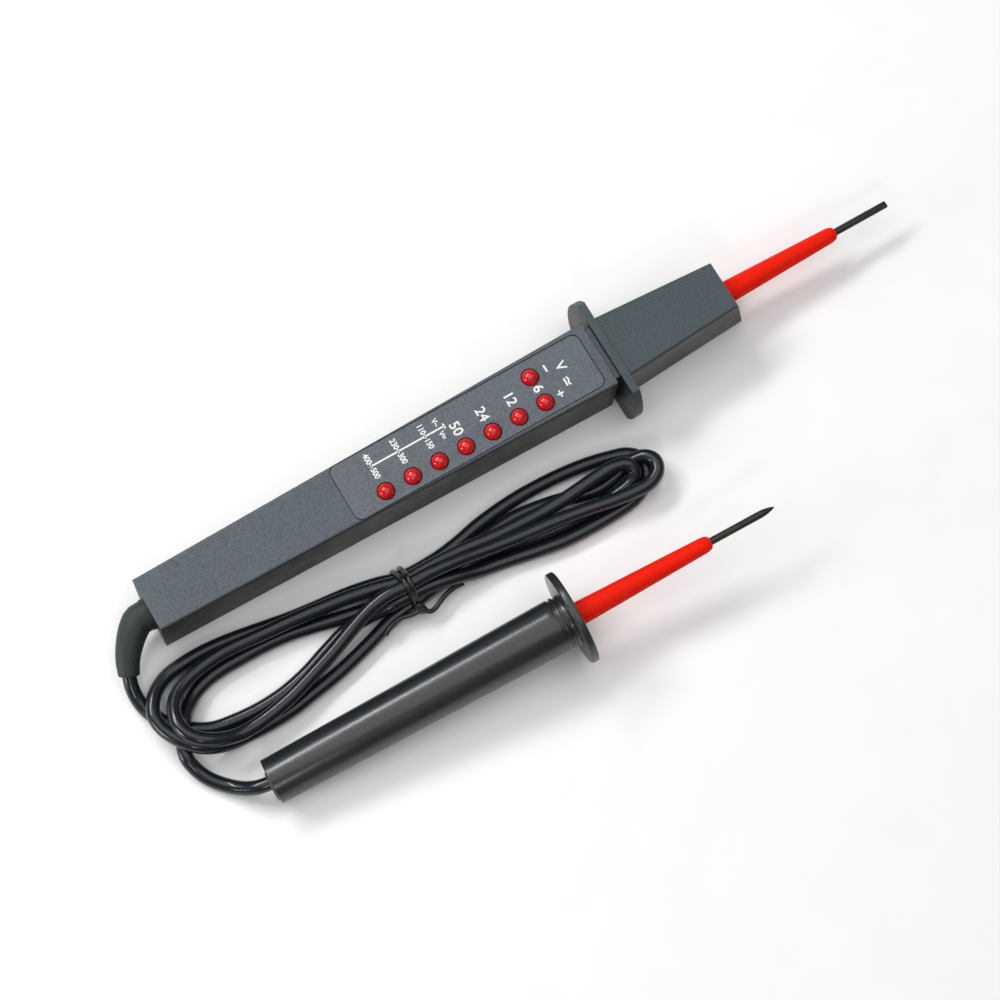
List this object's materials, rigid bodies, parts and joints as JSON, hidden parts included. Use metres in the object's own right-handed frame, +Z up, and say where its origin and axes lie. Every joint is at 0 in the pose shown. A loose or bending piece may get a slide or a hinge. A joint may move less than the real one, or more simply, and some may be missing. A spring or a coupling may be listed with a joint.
{
  "type": "circuit test light",
  "caption": "Two-pole circuit test light: tapered tester body with a row of red lamps, red sleeved probe tips and a tied lead to a second probe.",
  "frame": {"origin": "middle of the tester body's flat base, on the table", "axes": "+X along the tester body to its probe tip, +Z up, second probe and lead on the -Y side"},
  "size_m": [0.267, 0.0949, 0.0285],
  "materials": {
    "body_plastic": "fine speckled grain",
    "cover_plastic": "fine grain",
    "nose_plastic": "satin",
    "panel_plastic": "fine speckled grain",
    "lamp_red": "clear tinted epoxy, polished",
    "sleeve_red": "smooth",
    "tip_steel": "dark, drawn",
    "screw_steel": "zinc plated",
    "brass": "turned",
    "tinned_wire": "tinned",
    "handle_black": "smooth, polished",
    "plug_black": "smooth",
    "boot_rubber": "satin, moulded",
    "cord_jacket": "smooth extruded",
    "tie_black": "smooth",
    "clamp_nylon": "natural nylon",
    "board_laminate": "solder mask",
    "resistor_body": "lacquered",
    "black_parts": "moulded epoxy",
    "wire_blue": "smooth",
    "wire_red": "smooth"
  },
  "bodies": {
    "tester": {"body_shell": "body_plastic", "base_cover": "cover_plastic", "cover_screws": "screw_steel", "nose_guard": "nose_plastic", "scale_panel": "panel_plastic", "circuit_board": "board_laminate", "led_1": "lamp_red", "led_2": "lamp_red", "led_3": "lamp_red", "led_4": "lamp_red", "led_5": "lamp_red", "led_6": "lamp_red", "led_7": "lamp_red", "led_8": "lamp_red", "led_leads": "tinned_wire", "resistors": "resistor_body", "diodes": "black_parts", "transistors": "black_parts", "tip_rod": "tip_steel", "tip_sleeve": "sleeve_red", "tip_holder": "brass", "tip_wire": "wire_red", "boot_collar": "boot_rubber", "lead_boot": "boot_rubber", "cord_clamp": "clamp_nylon", "clamp_screws": "screw_steel", "inner_lead": "cord_jacket", "lead_wires": "wire_blue", "cord_lead_main": "cord_jacket", "cord_hank": "cord_jacket", "cord_tie": "tie_black", "cord_lead_probe": "cord_jacket"},
    "probe": {"probe_handle": "handle_black", "probe_end_plug": "plug_black", "probe_core": "cord_jacket", "probe_crimp": "brass", "probe_pin": "tip_steel", "probe_sleeve": "sleeve_red"}
  },
  "joints": [
    {"name": "probe_swing", "type": "hinge", "parent": "tester", "child": "probe", "pos_m": [-0.0685, -0.0583, 0.0066], "axis": [0, 0, 1], "range_deg": [-30, 2]}
  ]
}
